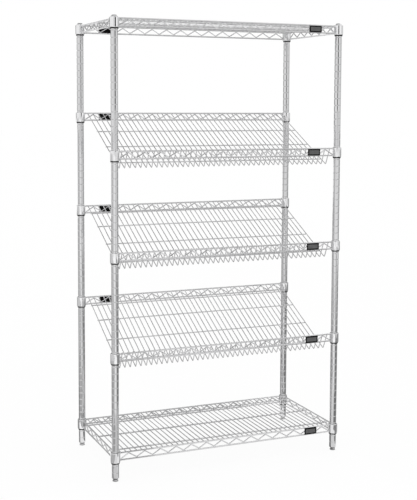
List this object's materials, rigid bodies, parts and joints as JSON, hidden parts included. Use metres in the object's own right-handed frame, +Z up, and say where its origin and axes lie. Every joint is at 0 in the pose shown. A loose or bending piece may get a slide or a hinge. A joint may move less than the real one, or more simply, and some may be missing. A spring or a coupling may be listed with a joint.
{
  "type": "slanted wire shelving unit",
  "caption": "Free-standing chrome wire shelving unit on grooved round posts, with forward-slanting display shelves between a flat top shelf and a flat bottom shelf, on levelling feet.",
  "frame": {"origin": "on the floor, at the middle of the four feet", "axes": "+Z up, +X to the right as seen from the front, +Y from the front to the back"},
  "size_m": [0.914, 0.454, 1.6345],
  "materials": {
    "post_chrome": "bright chrome plated tube",
    "cap_chrome": "bright chrome plated cap",
    "collar_chrome": "bright chrome plated collar",
    "wire_chrome": "chrome plated welded wire",
    "zinc_steel": "zinc plated steel",
    "sleeve_plastic": "black moulded plastic",
    "label_plastic": "black moulded plastic",
    "label_card": "plain dark grey card"
  },
  "bodies": {
    "frame": {"post_front_left": "post_chrome", "post_front_right": "post_chrome", "post_back_left": "post_chrome", "post_back_right": "post_chrome", "post_caps": "cap_chrome", "foot_inserts": "zinc_steel", "top_left_sleeves": "sleeve_plastic", "top_right_sleeves": "sleeve_plastic", "upper_left_sleeves": "sleeve_plastic", "upper_right_sleeves": "sleeve_plastic", "middle_left_sleeves": "sleeve_plastic", "middle_right_sleeves": "sleeve_plastic", "lower_left_sleeves": "sleeve_plastic", "lower_right_sleeves": "sleeve_plastic", "bottom_left_sleeves": "sleeve_plastic", "bottom_right_sleeves": "sleeve_plastic"},
    "foot_front_left": {"foot_front_left": "zinc_steel"},
    "foot_front_right": {"foot_front_right": "zinc_steel"},
    "foot_back_left": {"foot_back_left": "zinc_steel"},
    "foot_back_right": {"foot_back_right": "zinc_steel"},
    "top_shelf": {"top_left_collars": "collar_chrome", "top_right_collars": "collar_chrome", "top_rim_wires": "wire_chrome", "top_truss_wires": "wire_chrome", "top_deck_wires": "wire_chrome", "top_support_wires": "wire_chrome", "top_label_holders": "label_plastic", "top_label_cards": "label_card"},
    "upper_shelf": {"upper_left_collars": "collar_chrome", "upper_right_collars": "collar_chrome", "upper_rim_wires": "wire_chrome", "upper_truss_wires": "wire_chrome", "upper_deck_wires": "wire_chrome", "upper_cross_wires": "wire_chrome", "upper_label_holders": "label_plastic", "upper_label_cards": "label_card"},
    "middle_shelf": {"middle_left_collars": "collar_chrome", "middle_right_collars": "collar_chrome", "middle_rim_wires": "wire_chrome", "middle_truss_wires": "wire_chrome", "middle_deck_wires": "wire_chrome", "middle_cross_wires": "wire_chrome", "middle_label_holders": "label_plastic", "middle_label_cards": "label_card"},
    "lower_shelf": {"lower_left_collars": "collar_chrome", "lower_right_collars": "collar_chrome", "lower_rim_wires": "wire_chrome", "lower_truss_wires": "wire_chrome", "lower_deck_wires": "wire_chrome", "lower_cross_wires": "wire_chrome", "lower_label_holders": "label_plastic", "lower_label_cards": "label_card"},
    "bottom_shelf": {"bottom_left_collars": "collar_chrome", "bottom_right_collars": "collar_chrome", "bottom_rim_wires": "wire_chrome", "bottom_truss_wires": "wire_chrome", "bottom_deck_wires": "wire_chrome", "bottom_support_wires": "wire_chrome", "bottom_label_holders": "label_plastic", "bottom_label_cards": "label_card"}
  },
  "joints": [
    {"name": "foot_front_left_level", "type": "slide", "parent": "frame", "child": "foot_front_left", "axis": [0, 0, 1], "range_m": [-0.019, 0.002]},
    {"name": "foot_front_right_level", "type": "slide", "parent": "frame", "child": "foot_front_right", "axis": [0, 0, 1], "range_m": [-0.019, 0.002]},
    {"name": "foot_back_left_level", "type": "slide", "parent": "frame", "child": "foot_back_left", "axis": [0, 0, 1], "range_m": [-0.019, 0.002]},
    {"name": "foot_back_right_level", "type": "slide", "parent": "frame", "child": "foot_back_right", "axis": [0, 0, 1], "range_m": [-0.019, 0.002]},
    {"name": "top_shelf_lift", "type": "slide", "parent": "frame", "child": "top_shelf", "axis": [0, 0, 1], "range_m": [0, 0.05]},
    {"name": "upper_shelf_lift", "type": "slide", "parent": "frame", "child": "upper_shelf", "axis": [0, 0, 1], "range_m": [0, 0.254]},
    {"name": "middle_shelf_lift", "type": "slide", "parent": "frame", "child": "middle_shelf", "axis": [0, 0, 1], "range_m": [0, 0.254]},
    {"name": "lower_shelf_lift", "type": "slide", "parent": "frame", "child": "lower_shelf", "axis": [0, 0, 1], "range_m": [0, 0.254]},
    {"name": "bottom_shelf_lift", "type": "slide", "parent": "frame", "child": "bottom_shelf", "axis": [0, 0, 1], "range_m": [0, 0.254]}
  ]
}
